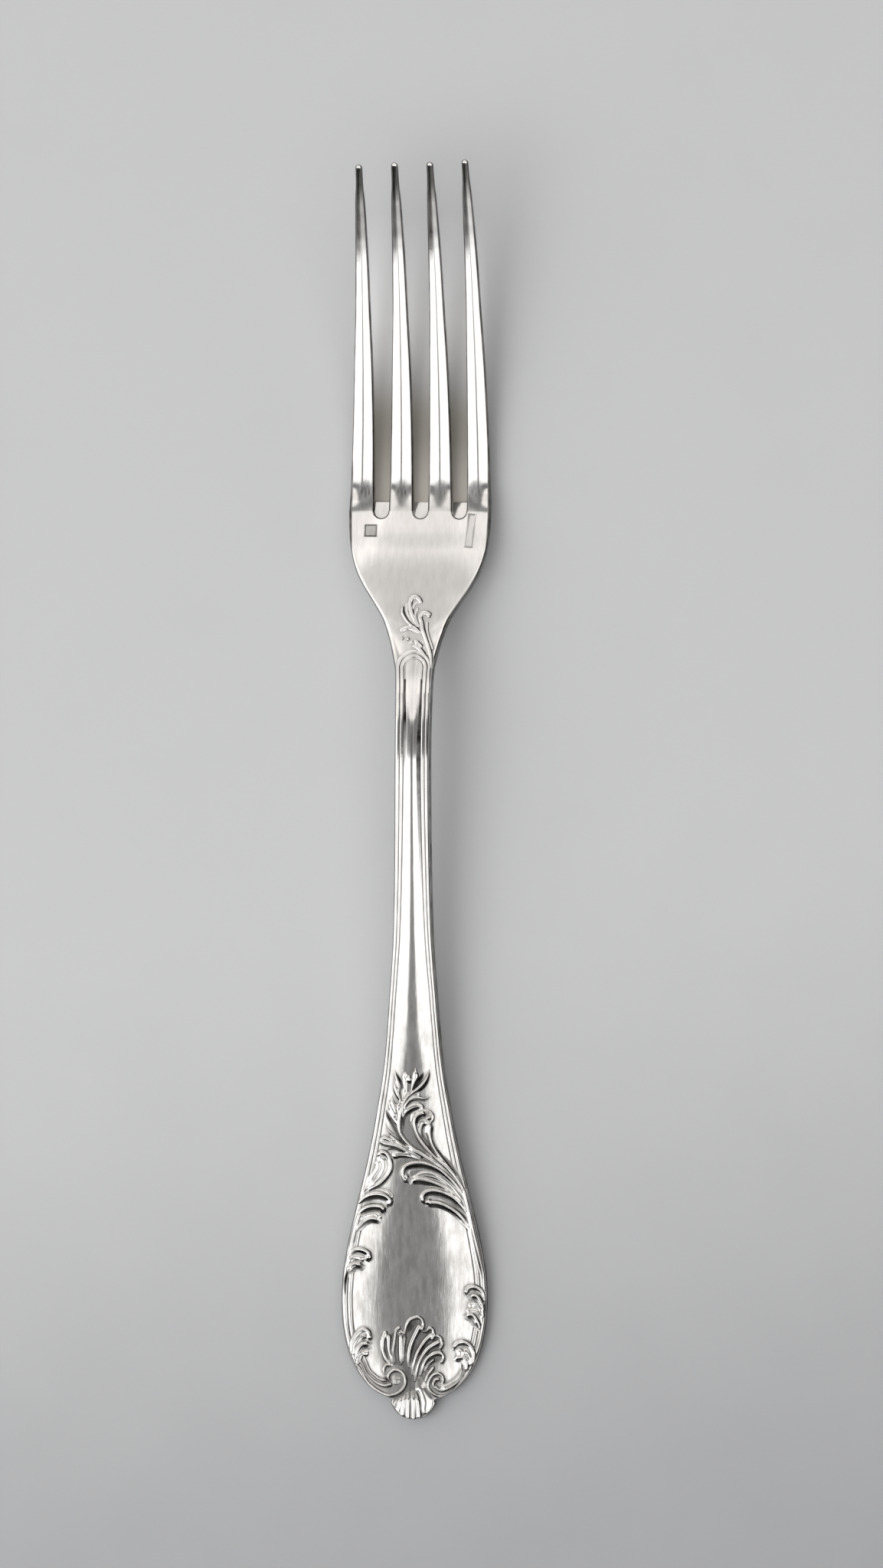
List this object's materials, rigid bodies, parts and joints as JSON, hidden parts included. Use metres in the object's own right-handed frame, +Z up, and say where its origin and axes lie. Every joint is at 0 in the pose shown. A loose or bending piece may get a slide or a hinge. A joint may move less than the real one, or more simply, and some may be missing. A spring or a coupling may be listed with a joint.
{
  "type": "dinner fork",
  "caption": "Table fork with slender tapering tines, an arched neck, a double-threaded stem and a pear-shaped blade with rocaille relief.",
  "frame": {"origin": "centre of the fork's plan on the table that it lies on", "axes": "+Y from the handle's end to the tine tips, +Z up from the table, +X to the right when the tines point away"},
  "size_m": [0.0244, 0.208, 0.019],
  "materials": {
    "silver": "polished silver plate with fine wear",
    "relief": "polished silver plate with dark patina in the recesses"
  },
  "bodies": {
    "root": {"blade": "silver", "stem": "silver", "neck": "silver", "root": "silver", "tine_outer_left": "silver", "tine_inner_left": "silver", "tine_inner_right": "silver", "tine_outer_right": "silver", "end_fan": "relief", "base_scroll_left": "relief", "base_scroll_right": "relief", "side_leaf_left": "relief", "side_leaf_right": "relief", "shell": "relief", "edge_leaf_right": "relief", "edge_leaf_left": "relief", "plume_left": "relief", "scrolls_right": "relief", "leaf_spray": "relief", "neck_arch": "relief", "neck_sprig": "relief"}
  },
  "joints": []
}
